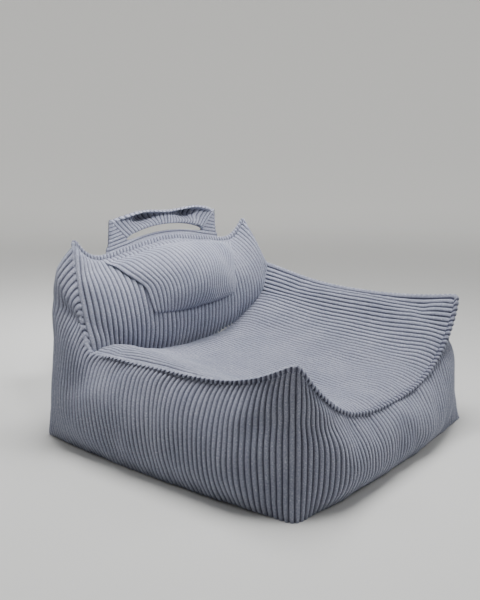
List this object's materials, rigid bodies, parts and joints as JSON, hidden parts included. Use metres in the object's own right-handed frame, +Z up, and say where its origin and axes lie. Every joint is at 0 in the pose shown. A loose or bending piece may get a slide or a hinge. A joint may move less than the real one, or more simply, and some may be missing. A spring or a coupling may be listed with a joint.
{
  "type": "bean bag chair",
  "caption": "Child's corduroy bean bag lounge chair with low arms, a raised back, a headrest pillow, a carry handle and a zipped filling opening.",
  "frame": {"origin": "centre of the footprint, on the floor", "axes": "+Z up, the sitter faces -Y, +X is on the sitter's left"},
  "size_m": [0.7756, 0.7582, 0.513],
  "materials": {
    "corduroy": "matt wide-wale pile, slate blue-grey with paler flecks",
    "liner_cloth": "plain white non-woven",
    "polystyrene_beads": "white expanded beads",
    "zip_tape": "woven polyester",
    "zip_nylon": "satin nylon coil",
    "zip_metal": "plated zinc"
  },
  "bodies": {
    "chair": {"bottom_panel": "corduroy", "wall_panel": "corduroy", "rear_lower_panel": "corduroy", "rear_upper_panel": "corduroy", "seat_panel": "corduroy", "backrest_panel": "corduroy", "rim_flange": "corduroy", "liner_lower": "liner_cloth", "liner_upper": "liner_cloth", "bead_fill": "polystyrene_beads", "zip_tape_lower": "zip_tape", "zip_tape_upper": "zip_tape", "zip_coil_lower": "zip_nylon", "zip_coil_upper": "zip_nylon", "zip_stop_closed_end": "zip_metal", "zip_stop_open_end": "zip_metal"},
    "zip_slider": {"zip_slider": "zip_metal"},
    "zip_pull": {"zip_pull_tab": "zip_metal"},
    "handle": {"handle_front_layer": "corduroy", "handle_rear_layer": "corduroy"},
    "headrest": {"headrest_rear_cover": "corduroy", "headrest_fill": "polystyrene_beads", "headrest_front_cover": "corduroy"}
  },
  "joints": [
    {"name": "zip_slide", "type": "slide", "parent": "chair", "child": "zip_slider", "axis": [1, 0, 0], "range_m": [-0.007, 0.416]},
    {"name": "zip_pull_hinge", "type": "hinge", "parent": "zip_slider", "child": "zip_pull", "pos_m": [-0.206, 0.3779, 0.063], "axis": [0, 0, 1], "range_deg": [0, 170]},
    {"name": "handle_fold", "type": "hinge", "parent": "chair", "child": "handle", "pos_m": [0, 0.3127, 0.412], "axis": [-1, 0, 0], "range_deg": [0, 80]},
    {"name": "headrest_lift", "type": "hinge", "parent": "chair", "child": "headrest", "pos_m": [0, 0.2875, 0.433], "axis": [-1, 0, 0], "range_deg": [0, 90]}
  ]
}
